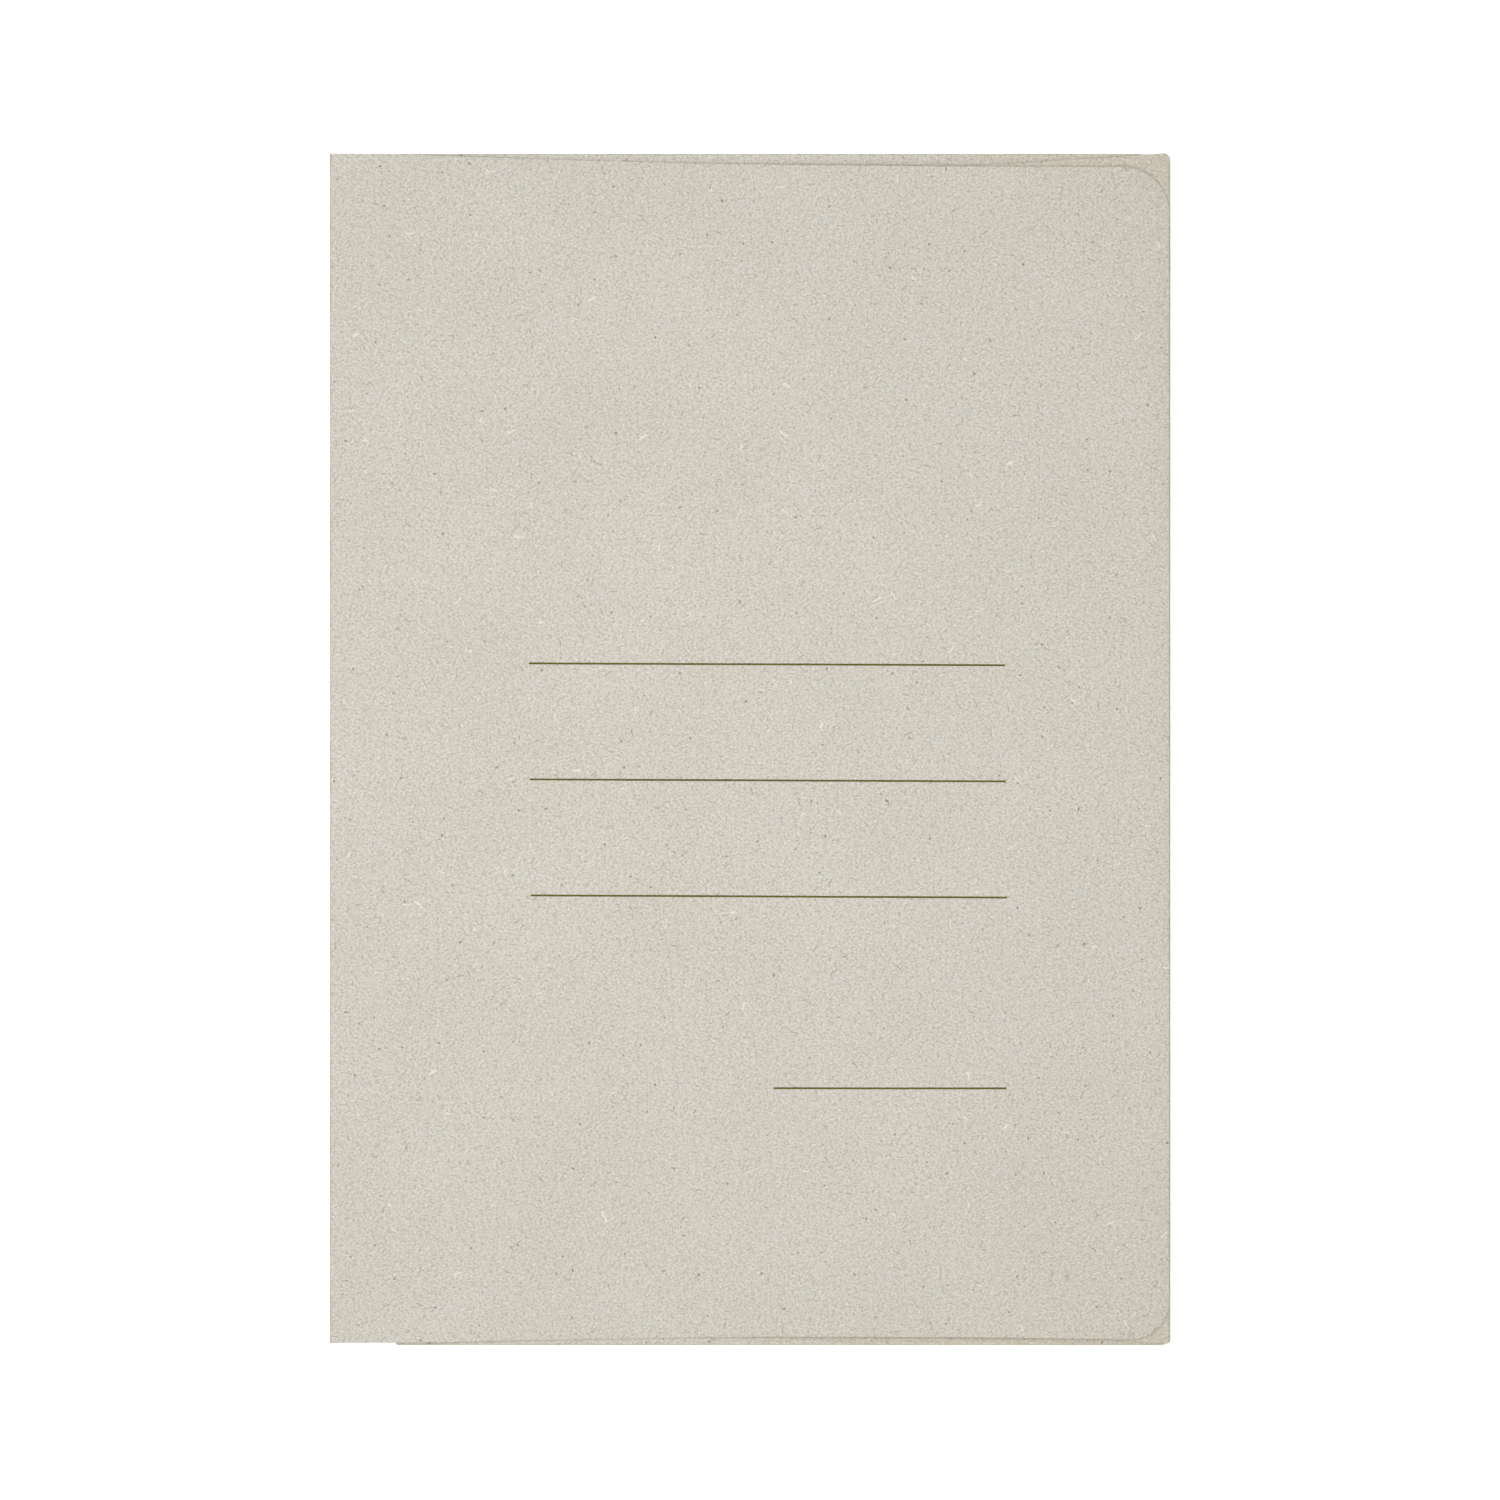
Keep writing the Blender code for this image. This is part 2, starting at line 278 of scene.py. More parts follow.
def recycled_board():
    """Uncoated recycled greyboard, as it comes off the board machine.

    Matt and dry. Its pulp is a close, even mixture of greyish and creamy fibres with no direction. In it
    lie dark specks of old print, a few short dark fibres, and pale curled fibres that stand a hair above
    the surface.
    """
    material = bpy.data.materials.new("recycled_greyboard_uncoated")
    material.use_nodes = True
    tree = material.node_tree
    shader = tree.nodes["Principled BSDF"]
    place = add(tree, "ShaderNodeUVMap", uv_map="blank").outputs[0]

    # Pulp: fibre clumps of about 0.6 mm turned two ways, softer flocks of 3 mm, and a faint cloudiness over
    # 40 mm. The board machine lays them a little longer across the folder than along it
    layers = []
    for size, turn, detail, weight in (
        (0.58, 25, 3.0, 1.45),
        (0.64, 70, 3.0, 1.45),
        (3.0, 40, 2.0, 0.10),
        (40.0, 10, 1.0, 0.12),
    ):
        turned = add(
            tree,
            "ShaderNodeMapping",
            {"Vector": place, "Rotation": (0.0, 0.0, math.radians(turn)), "Scale": (0.92, 1.12, 1.0)},
        ).outputs[0]
        texture = add(
            tree,
            "ShaderNodeTexNoise",
            {"Vector": turned, "Scale": 1 / size, "Detail": detail, "Roughness": 0.62},
            noise_dimensions="2D",
        ).outputs["Fac"]
        layers.append((texture, weight))
    tone = 0.5 - sum(weight for _, weight in layers) / 2
    for texture, weight in layers:
        tone = add(
            tree, "ShaderNodeMath", {0: texture, 1: weight, 2: tone}, operation="MULTIPLY_ADD"
        ).outputs[0]
    pulp = add(
        tree,
        "ShaderNodeMix",
        {0: tone, 6: colour("#b5b1a4"), 7: colour("#dddad4")},
        data_type="RGBA",
    ).outputs[2]

    # Batches of unlike pulp give it slightly warmer and cooler patches of some 4 mm
    batches = add(
        tree,
        "ShaderNodeTexNoise",
        {"Vector": place, "Scale": 1 / 4.0, "Detail": 3.0},
        noise_dimensions="2D",
    ).outputs["Fac"]
    batches = add(
        tree, "ShaderNodeMapRange", {"Value": batches, "From Min": 0.3, "From Max": 0.7}
    ).outputs[0]
    pulp = add(
        tree,
        "ShaderNodeMix",
        {0: batches, 6: pulp, 7: colour("#fffefa")},
        data_type="RGBA",
        blend_type="MULTIPLY",
    ).outputs[2]

    # Marks lying in the pulp: cell, share, length, width and curl in mm, colour, and how strongly it shows
    marks = (
        ("short grey fibres", 1.5, 0.60, (0.5, 1.3), 0.21, 0.4, "#989280", 0.40),
        ("short pale fibres", 1.7, 0.50, (0.4, 1.1), 0.20, 0.4, "#eae7dd", 0.32),
        ("fine specks", 2.2, 0.36, (0.25, 0.60), 0.30, 0.2, "#857f6b", 0.42),
        ("print specks", 9.0, 0.35, (0.3, 0.8), 0.42, 0.3, "#625c48", 0.65),
        ("dark fibres", 8.0, 0.35, (0.9, 2.2), 0.28, 0.9, "#7a7460", 0.42),
        ("pale tufts", 4.0, 0.30, (0.4, 1.1), 0.34, 0.7, "#efece2", 0.36),
        ("pale curls", 14.0, 0.30, (1.0, 2.6), 0.42, 2.4, "#f3f0e7", 0.48),
    )
    shade, relief = pulp, tone
    for label, cell, share, length, width, curl, hex_code, strength in marks:
        mask = scattered_marks(tree, place, label, cell, share, length, width, curl)
        amount = add(tree, "ShaderNodeMath", {0: mask, 1: strength}, operation="MULTIPLY").outputs[0]
        shade = add(
            tree, "ShaderNodeMix", {0: amount, 6: shade, 7: colour(hex_code)}, data_type="RGBA"
        ).outputs[2]
        relief = add(
            tree, "ShaderNodeMath", {0: mask, 1: 0.6, 2: relief}, operation="MULTIPLY_ADD"
        ).outputs[0]

    # Painted warm shade where the board stands out from under the cover, for its shade and warm bounce light
    painted_warm_shade = add(tree, "ShaderNodeAttribute", attribute_name="painted_warm_shade").outputs["Fac"]
    shade = add(
        tree,
        "ShaderNodeMix",
        {0: painted_warm_shade, 6: shade, 7: colour("#fcf8f3")},
        data_type="RGBA",
        blend_type="MULTIPLY",
    ).outputs[2]

    # Painted shade along the outer line of a fold, where the bend turns away from the light, here more and
    # there less
    crease = add(tree, "ShaderNodeAttribute", attribute_name="crease").outputs["Fac"]
    patches = add(
        tree,
        "ShaderNodeTexNoise",
        {"Vector": place, "Scale": 1 / 14.0, "Detail": 3.0},
        noise_dimensions="2D",
    ).outputs["Fac"]
    patches = add(
        tree,
        "ShaderNodeMapRange",
        {"Value": patches, "From Min": 0.35, "From Max": 0.65, "To Min": 0.25, "To Max": 0.7},
    ).outputs[0]
    painted_fold_line_shade = add(tree, "ShaderNodeMath", {0: crease, 1: patches}, operation="MULTIPLY").outputs[0]
    shade = add(
        tree, "ShaderNodeMix", {0: painted_fold_line_shade, 6: shade, 7: colour("#aba593")}, data_type="RGBA"
    ).outputs[2]
    tree.links.new(shade, shader.inputs["Base Color"])

    rough = add(
        tree, "ShaderNodeMapRange", {"Value": tone, "To Min": 0.96, "To Max": 0.82}
    ).outputs[0]
    tree.links.new(rough, shader.inputs["Roughness"])
    bump = add(
        tree, "ShaderNodeBump", {"Strength": 1.0, "Distance": 0.10 * MM, "Height": relief}
    ).outputs[0]
    tree.links.new(bump, shader.inputs["Normal"])
    shader.inputs["IOR"].default_value = 1.5
    shader.inputs["Diffuse Roughness"].default_value = 0.6
    return material


def cut_edge():
    """The same board where the die has cut it: darker, with its layers as fine streaks along the edge."""
    material = bpy.data.materials.new("recycled_greyboard_die_cut")
    material.use_nodes = True
    tree = material.node_tree
    shader = tree.nodes["Principled BSDF"]
    place = add(tree, "ShaderNodeTexCoord").outputs["Object"]
    in_mm = add(
        tree, "ShaderNodeVectorMath", {0: place, 1: (1 / MM, 1 / MM, 8 / MM)}, operation="MULTIPLY"
    ).outputs[0]
    streaks = add(
        tree, "ShaderNodeTexNoise", {"Vector": in_mm, "Scale": 1.6, "Detail": 3.0, "Roughness": 0.6}
    ).outputs["Fac"]
    shade = add(
        tree, "ShaderNodeMix", {0: streaks, 6: colour("#a29a84"), 7: colour("#d0cbb9")}, data_type="RGBA"
    ).outputs[2]
    tree.links.new(shade, shader.inputs["Base Color"])
    rough = add(tree, "ShaderNodeMapRange", {"Value": streaks, "To Min": 0.98, "To Max": 0.86}).outputs[0]
    tree.links.new(rough, shader.inputs["Roughness"])
    bump = add(
        tree, "ShaderNodeBump", {"Strength": 0.7, "Distance": 0.05 * MM, "Height": streaks}
    ).outputs[0]
    tree.links.new(bump, shader.inputs["Normal"])
    shader.inputs["IOR"].default_value = 1.5
    shader.inputs["Diffuse Roughness"].default_value = 0.6
    return material


def offset_ink():
    """Dark olive offset ink on uncoated board: it sinks in, so it is matt, and fibres make it uneven."""
    material = bpy.data.materials.new("offset_ink_on_greyboard")
    material.use_nodes = True
    tree = material.node_tree
    shader = tree.nodes["Principled BSDF"]
    place = add(tree, "ShaderNodeTexCoord").outputs["Object"]
    uneven = add(
        tree,
        "ShaderNodeTexNoise",
        {"Vector": place, "Scale": 1 / (0.8 * MM), "Detail": 2.0, "Roughness": 0.6},
    ).outputs["Fac"]
    shade = add(
        tree, "ShaderNodeMix", {0: uneven, 6: colour("#45410c"), 7: colour("#766f35")}, data_type="RGBA"
    ).outputs[2]
    tree.links.new(shade, shader.inputs["Base Color"])
    rough = add(tree, "ShaderNodeMapRange", {"Value": uneven, "To Min": 0.75, "To Max": 0.95}).outputs[0]
    tree.links.new(rough, shader.inputs["Roughness"])
    shader.inputs["IOR"].default_value = 1.48
    shader.inputs["Specular IOR Level"].default_value = 0.3
    return material


def studio_floor():
    """Matt white paper sweep, lit a little from below so that it stays white, with a trace of tooth."""
    material = bpy.data.materials.new("matt_white_paper_sweep")
    material.use_nodes = True
    tree = material.node_tree
    shader = tree.nodes["Principled BSDF"]
    place = add(tree, "ShaderNodeTexCoord").outputs["Object"]
    tooth = add(tree, "ShaderNodeTexNoise", {"Vector": place, "Scale": 60.0, "Detail": 2.0}).outputs["Fac"]
    shade = add(
        tree, "ShaderNodeMix", {0: tooth, 6: colour("#fafaf9"), 7: colour("#fdfdfc")}, data_type="RGBA"
    ).outputs[2]
    tree.links.new(shade, shader.inputs["Base Color"])
    shader.inputs["Roughness"].default_value = 0.95
    shader.inputs["Specular IOR Level"].default_value = 0.1
    shader.inputs["Emission Color"].default_value = (1.0, 1.0, 1.0, 1.0)
    shader.inputs["Emission Strength"].default_value = 0.30
    return material


BOARD_FACE = recycled_board()
BOARD_CUT = cut_edge()


# Outlines


def cad_outline(node):
    """Outline of a flat panel of the frame seen from above, as points anticlockwise."""
    shape = bmesh.new()
    shape.from_mesh(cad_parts[node].data)
    bmesh.ops.remove_doubles(shape, verts=shape.verts, dist=SAME_POINT)
    shape.normal_update()
    upper = {face for face in shape.faces if face.normal.z > 0.5}
    following = {}
    for face in upper:
        for loop in face.loops:
            if not any(other in upper for other in loop.edge.link_faces if other is not face):
                following[loop.vert] = loop.link_loop_next.vert
    first = vertex = min(following, key=lambda v: (v.co.x, v.co.y))
    points = []
    while not points or vertex is not first:
        points.append(vertex.co.xy)
        vertex = following[vertex]
    shape.free()
    return points


def reach_fold(points, axis, plane):
    """The outline with its side that stops short of a fold moved onto the plane where the fold begins."""
    moved = [point.copy() for point in points]
    for point in moved:
        if abs(abs(point[axis] - plane) - FOLD_GAP) < SAME_PLANE:
            point[axis] = plane
    return moved


def new_corner(points, corner, replacement):
    """The outline with the points that round a corner replaced."""
    near = [(point - corner).length < CORNER_REACH for point in points]
    start = next(i for i in range(len(points)) if near[i] and not near[i - 1])
    turned = points[start:] + points[:start]
    return replacement + turned[sum(near):]


def fore_corner_y(x):
    """Where the rounded top corner of the side fold stops the sheet, at x."""
    into = max(0.0, x - (FORE_X - FORE_CORNER_RADIUS))
    return SIDE_FLAP_HIGH.y - FORE_CORNER_RADIUS + math.sqrt(max(0.0, FORE_CORNER_RADIUS**2 - into**2))


def fore_corner():
    """Points of that rounded corner, from the fold to the straight top edge."""
    start = FORE_X - FORE_CORNER_RADIUS
    shares = [i / FORE_CORNER_STEPS for i in range(FORE_CORNER_STEPS + 1)]
    xs = [SIDE_FOLD_X + (start - SIDE_FOLD_X) * share for share in shares]
    return [Vector((x, fore_corner_y(x))) for x in xs]


def on_fold(a, b, folds):
    """True where the side from a to b lies on one of the folds, each (axis, plane)."""
    return any(max(abs(a[axis] - plane), abs(b[axis] - plane)) < SAME_PLANE for axis, plane in folds)


def die_cut(points, folds, seed):
    """Adds points along the outline, lets its cut sides wander inwards, and says which sides are cut."""
    made, cut = [], []
    for i, here in enumerate(points):
        after = points[(i + 1) % len(points)]
        is_fold = on_fold(here, after, folds)
        side = after - here
        inwards = Vector((-side.y, side.x)).normalized()
        steps = max(1, round(side.length / CUT_STEP))
        for step in range(steps):
            point = here + side * step / steps
            if step and not is_fold:
                wander = noise.noise(Vector((*(point / CUT_WANDER_LENGTH), seed)))
                point = point + inwards * CUT_WANDER * (0.5 + 0.5 * wander)
            made.append(point)
            cut.append(not is_fold)
    return made, cut


def inset(points, cut, amount):
    """The outline with its cut sides moved inwards by amount. Its sides on a fold stay where they are."""
    moved = []
    for i, here in enumerate(points):
        lines = []
        after = points[(i + 1) % len(points)]
        for a, b, is_cut in ((points[i - 1], here, cut[i - 1]), (here, after, cut[i])):
            direction = (b - a).normalized()
            shift = Vector((-direction.y, direction.x)) * (amount if is_cut else 0)
            lines.append((here + shift, direction))
        # The two moved sides meet in the new corner, unless they run almost straight on
        (p, d), (q, e) = lines
        turn = d.cross(e)
        if abs(turn) < 0.05:
            moved.append((p + q) / 2)
        else:
            moved.append(p + d * (q - p).cross(e) / turn)
    return moved


# Sheets and bends


def finish(name, shape, node, outwards=False):
    """Turns shape into the named piece of board, which stands for the node."""
    if outwards:
        bmesh.ops.recalc_face_normals(shape, faces=shape.faces)
    mesh = bpy.data.meshes.new(name)
    shape.to_mesh(mesh)
    shape.free()
    mesh.materials.append(BOARD_FACE)
    mesh.materials.append(BOARD_CUT)
    mesh.shade_smooth()
    mesh.set_sharp_from_angle(angle=SHARP_ANGLE)
    piece = bpy.data.objects.new(name, mesh)
    bpy.context.scene.collection.objects.link(piece)
    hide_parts(node)
    return piece


# The two sides of the board have their own fibres, so on the blank's map they lie this far apart, in mm
OTHER_SIDE = Vector((0, 500))


def sheet(name, node, points, folds, place, blank, outer_side, painted_warm_shade, seed):
    """A flat panel of board.

    points is its outline, and folds the planes on which it goes on into a bend. place(a, b, c) is the point
    in the frame at (a, b) in the outline's plane and c through the board. blank(a, b) is that place on the
    unfolded sheet. outer_side is the c of the side that faces out of the closed folder, and
    painted_warm_shade(a, b) how much painted warm shade that side takes.
    """
    outline, cut = die_cut(points, folds, seed)

    # The soft edge in rings from the upper face to the lower one: how far inside the outline, and at which c
    profile = []
    for step in range(EDGE_STEPS + 1):
        angle = math.pi / 2 * step / EDGE_STEPS
        profile.append((EDGE_SOFTNESS * (1 - math.sin(angle)), EDGE_SOFTNESS * (1 - math.cos(angle))))
    rings = [(away, BOARD - down) for away, down in profile]
    rings += [(away, down) for away, down in reversed(profile)]

    rim = inset(outline, cut, EDGE_SOFTNESS)
    low = Vector((min(p.x for p in rim), min(p.y for p in rim)))
    high = Vector((max(p.x for p in rim), max(p.y for p in rim)))
    counts = [max(1, round((high[i] - low[i]) / SHEET_STEP)) for i in range(2)]
    step_x, step_y = (high.x - low.x) / counts[0], (high.y - low.y) / counts[1]
    grid = [
        Vector((low.x + step_x * (i + (0.25 if j % 2 else -0.25)), low.y + step_y * j))
        for i in range(1, counts[0])
        for j in range(1, counts[1])
    ]
    inner = inside(grid, inset(outline, cut, EDGE_SOFTNESS + SHEET_STEP / 3))

    # Type 1 keeps the triangles inside the rim only
    vertices, _, faces, origins, _, _ = geometry.delaunay_2d_cdt(
        rim + inner, [], [list(range(len(rim)))], 1, 1e-7
    )
    at_rim = {source: i for i, sources in enumerate(origins) for source in sources if source < len(rim)}

    shape = bmesh.new()
    map_layer = shape.loops.layers.uv.new("blank")
    painted_warm_shade_layer = shape.verts.layers.float.new("painted_warm_shade")
    spots = {}

    def corner(p, c):
        """A vertex at the point p of the outline's plane, c through the board."""
        vertex = shape.verts.new(place(p.x, p.y, c))
        # Painted warm shade, on the side that faces out only
        vertex[painted_warm_shade_layer] = painted_warm_shade(p.x, p.y) * (1 - abs(c - outer_side) / BOARD)
        spots[vertex] = (Vector(blank(p.x, p.y)) / MM, (BOARD - c) / MM)
        return vertex

    flat = {c: [corner(p, c) for p in vertices] for c in (BOARD, 0.0)}
    for c, corners in flat.items():
        side = Vector((0, 0)) if c == outer_side else OTHER_SIDE
        for face in faces:
            made = shape.faces.new([corners[i] for i in (face if c else reversed(face))])
            for loop in made.loops:
                loop[map_layer].uv = spots[loop.vert][0] + side
    walls = [[flat[BOARD][at_rim[i]] for i in range(len(rim))]]
    walls += [[corner(p, c) for p in inset(outline, cut, away)] for away, c in rings[1:-1]]
    walls += [[flat[0.0][at_rim[i]] for i in range(len(rim))]]
    for index, (upper, lower) in enumerate(zip(walls, walls[1:])):
        is_middle = abs(index - EDGE_STEPS) < 2
        for i in range(len(rim)):
            j = (i + 1) % len(rim)
            made = shape.faces.new([upper[j], upper[i], lower[i], lower[j]])
            made.material_index = 1 if cut[i] and is_middle else 0
            for loop in made.loops:
                spot, down = spots[loop.vert]
                loop[map_layer].uv = spot + Vector((down, down))
    return finish(name, shape, node)


def inside(spots, outline):
    """Those of the spots that lie in the outline."""
    if not spots:
        return []
    xs, ys = np.array(spots).T
    within = np.zeros(len(spots), bool)
    for a, b in zip(outline, outline[1:] + outline[:1]):
        crossed = (a.y > ys) != (b.y > ys)
        if crossed.any():
            within ^= crossed & (xs < a.x + (b.x - a.x) * (ys - a.y) / (b.y - a.y))
    return [spot for spot, kept in zip(spots, within) if kept]


def bend(name, node, centre, out, start, stop, radius, ends, blank_from, painted_warm_shade, narrowness):
    """A strip of board bent about a line through centre, from the angle start to stop, 0 being downwards.

    out points away from the folder. ends(bulge) gives where the strip begins and ends along the fold, bulge
    being how far out it stands, 0 to 1. blank_from is where the bend begins on the unfolded sheet, across
    the fold, and painted_warm_shade(x, y) how much painted warm shade its outer side takes. The higher
    narrowness is, the narrower is the painted shade along the outer line of that side, where the bend
    turns away from the light.
    """
    along = Vector((abs(out.y), abs(out.x), 0))
    unfolds = 1 if out.x + out.y > 0 else -1
    steps = round(BEND_STEPS * (stop - start) / math.pi)
    angles = [start + (stop - start) * i / steps for i in range(steps + 1)]
    half = BOARD / 2
    thin = half - TONGUE_INSET
    sections = [(start, -TONGUE, thin), (start, 0, thin)]
    sections += [(angle, 0, half) for angle in angles]
    sections += [(stop, 0, thin), (stop, TONGUE, thin)]
    low, high = ends(0)
    count = round((high - low) / BEND_LENGTH_STEP)

    shape = bmesh.new()
    map_layer = shape.loops.layers.uv.new("blank")
    crease_layer = shape.verts.layers.float.new("crease")
    painted_warm_shade_layer = shape.verts.layers.float.new("painted_warm_shade")
    grid, spots = [], {}
    for angle, run, thickness in sections:
        bulge = math.sin(angle)
        forward = out * math.cos(angle) + Vector((0, 0, math.sin(angle)))
        outwards = out * math.sin(angle) - Vector((0, 0, math.cos(angle)))
        share = (angle - start) / (stop - start)
        middle = math.sin(math.pi * share)
        low, high = ends(bulge)
        row = []
        for j in range(count + 1):
            s = low + (high - low) * j / count
            wander = noise.noise(Vector((s / CRUSH_LENGTH, 3 * share, 7.3)))
            crushed = CRUSH * middle * (0.5 + 0.5 * wander)
            pair = []
            for sign in (1, -1):
                r = radius + sign * thickness - (crushed if sign > 0 else 0)
                vertex = shape.verts.new(centre + along * s + outwards * r + forward * run)
                # Painted shade along the outer line, strongest in the middle of the bend
                vertex[crease_layer] = middle**narrowness if sign > 0 else 0.0
                # Painted warm shade on the outer side
                vertex[painted_warm_shade_layer] = painted_warm_shade(*vertex.co.xy) if sign > 0 else 0.0
                across = blank_from + (radius * (angle - start) + run) * unfolds
                spots[vertex] = ((across, s) if abs(out.x) else (s, across), sign)
                pair.append(vertex)
            row.append(pair)
        grid.append(row)

    def face(corners, index=0):
        made = shape.faces.new(corners)
        made.material_index = index
        for loop in made.loops:
            spot, sign = spots[loop.vert]
            loop[map_layer].uv = Vector(spot) / MM + (Vector((0, 0)) if sign > 0 else OTHER_SIDE)

    for here, after in zip(grid, grid[1:]):
        for j in range(count):
            for side in (0, 1):
                face([here[j][side], after[j][side], after[j + 1][side], here[j + 1][side]])
        for j in (0, count):
            face([here[j][0], after[j][0], after[j][1], here[j][1]], 1)
    for row in (grid[0], grid[-1]):
        for j in range(count):
            face([row[j][0], row[j + 1][0], row[j + 1][1], row[j][1]])
    piece = finish(name, shape, node, outwards=True)
    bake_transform(piece)


# Sag of each sheet at rest, as a depth at (x, y). It fades out towards the fold that holds the sheet


def cover_sag(x, y):
    """A hollow between the spine and the side flap's free edge, and low waves over the whole cover."""
    s, t = (x - SCORE_X) / (FORE_X - SCORE_X), y / (TOP_Y - BOTTOM_Y)
    flap_edge = (SIDE_FLAP_LOW.x - SCORE_X) / (FORE_X - SCORE_X)
    hollow = smooth(s / 0.28) * (1 - smooth((s - flap_edge + 0.20) / 0.28))
    waves = 0.55 + 0.25 * math.sin(5.2 * s + 3.0 * t) + 0.20 * math.cos(6.5 * t - 2.0 * s)
    return COVER_HOLLOW * hollow + COVER_SAG * smooth(s / 0.12) * (0.15 + 0.85 * waves)


def cover_waist(x, y):
    """Share by which the cover is shorter at x, on the side where y is."""
    left, right = SCORE_X + 0.12 * (FORE_X - SCORE_X), SCORE_X + 0.95 * (FORE_X - SCORE_X)
    t = min(1.0, max(0.0, (x - left) / (right - left)))
    waist = (COVER_TOP_WAIST if y > 0 else COVER_BOTTOM_WAIST) * math.sin(math.pi * t**1.1)
    if y > 0:
        across = x - SCORE_X
        waist -= COVER_TOP_SLOPE * across * (1 - smooth((across - SQUARE_TO) / (SLOPE_FROM - SQUARE_TO)))
    return waist / TOP_Y


def side_flap_sag(x, y):
    """Deep in the middle of the folder's height, and little where it lies on the end flaps."""
    s, t = (SIDE_FOLD_X - x) / (SIDE_FOLD_X - SIDE_FLAP_LOW.x), abs(y) / TOP_Y
    return SIDE_FLAP_SAG * smooth(s / 0.10) * (1 - 0.75 * smooth((t - 0.4) / 0.3))


def end_flap_sag(x, y):
    """A little more and less along the fold."""
    fold = TOP_FOLD_Y if y > 0 else -BOTTOM_FOLD_Y
    from_fold = smooth((fold - abs(y)) / END_FLAP_SAG_REACH)
    return END_FLAP_SAG * from_fold * (0.6 + 0.4 * math.sin(25 * x + 1.0))


def none(x, y):
    """No sag, or no painted shade."""
    return 0.0


def painted_fold_shade(x, y):
    """Painted warm shade beside the flaps' folds, for the cover's shade: fully at the fore edge, less by the
    spine.
    """
    start, stop = TOP_FOLD_SHADE_RISE if y > 0 else BOTTOM_FOLD_SHADE_RISE
    by_folds = 1 - smooth(min(FORE_X - x, TOP_Y - y, y - BOTTOM_Y) / FOLD_SHADE_REACH)
    return by_folds * (LEAST_FOLD_SHADE + (1 - LEAST_FOLD_SHADE) * smooth((x - start) / (stop - start)))


def painted_cover_shade(x, y):
    """Painted warm shade on the cover, along its fore edge and round its two round corners."""
    start, stop = COVER_EDGE_SHADE_SPAN
    by_edge = smooth((x - FORE_X + start) / (start - stop))
    away = math.hypot(FORE_X - x, min(TOP_Y - y, y - BOTTOM_Y))
    by_corner = 1 - smooth(away / COVER_CORNER_SHADE_REACH)
    return max(COVER_EDGE_SHADE * by_edge, COVER_CORNER_SHADE * by_corner)


def lying(underside, sag):
    """Placing of a sheet that lies flat, with its underside at that height."""
    return lambda a, b, c: Vector((a, b, underside + c - sag(a, b)))


# Where the far side of each fold lies on the unfolded sheet
STRIP_BLANK_X = SCORE_X - SCORE_RADIUS * math.pi / 2
COVER_SCORE_BLANK_X = STRIP_BLANK_X - (COVER_SCORE_Z - BACK_SCORE_Z)
COVER_BLANK_X = COVER_SCORE_BLANK_X - SCORE_RADIUS * math.pi / 2
SIDE_BLANK_X = SIDE_FOLD_X + SIDE_RADIUS * math.pi
TOP_BLANK_Y = TOP_FOLD_Y + END_RADIUS * math.pi
BOTTOM_BLANK_Y = BOTTOM_FOLD_Y - END_RADIUS * math.pi


def back_sheet():
    """The back, which lies flat on the table. Its outer side is its underside."""
    folds = [(0, SCORE_X), (0, SIDE_FOLD_X), (1, TOP_FOLD_Y), (1, BOTTOM_FOLD_Y)]
    low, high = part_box("back_panel")
    side_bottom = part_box("side_fold")[0].y
    side_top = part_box("side_fold")[1].y
    points = cad_outline("back_panel")
    points = new_corner(points, Vector((high.x, side_top)), fore_corner())
    points = new_corner(points, Vector((high.x, side_bottom)), [Vector((SIDE_FOLD_X, side_bottom))])
    for axis, plane in folds:
        points = reach_fold(points, axis, plane)
    piece = sheet(
        "back_sheet",
        "back_panel",
        points,
        folds,
        lying(low.z, none),
        lambda a, b: (a, b),
        0.0,
        painted_fold_shade,
        seed=1,
    )
    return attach(piece, "back")


def spine_sheet():
    """The narrow strip that stands upright between the two spine scores."""
    folds = [(1, BACK_SCORE_Z), (1, COVER_SCORE_Z)]
    points = [
        Vector((CUT_BOTTOM_Y, BACK_SCORE_Z)),
        Vector((CUT_TOP_Y, BACK_SCORE_Z)),
        Vector((CUT_TOP_Y, COVER_SCORE_Z)),
        Vector((CUT_BOTTOM_Y, COVER_SCORE_Z)),
    ]
    piece = sheet(
        "spine_sheet",
        "spine_strip",
        points,
        folds,
        lambda a, b, c: Vector((SPINE_X + c, a, b)),
        lambda a, b: (STRIP_BLANK_X - (b - BACK_SCORE_Z), a),
        0.0,
        none,
        seed=2,
    )
    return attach(piece, "spine")


def cover_sheet():
    """The front cover, with its two round corners. The printed rules lie on it, a hair within the frame."""
    folds = [(0, SCORE_X)]
    flat = lying(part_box("front_cover")[0].z, cover_sag)
    points = reach_fold(cad_outline("front_cover"), *folds[0])
    piece = sheet(
        "cover_sheet",
        "front_cover",
        points,
        folds,
        lambda a, b, c: flat(a, b * (1 - cover_waist(a, b)), c),
        lambda a, b: (COVER_BLANK_X - (a - SCORE_X), b),
        BOARD,
        # Painted warm shade along the fore edge and round the round corners
        painted_cover_shade,
        seed=3,
    )
    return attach(piece, "cover")


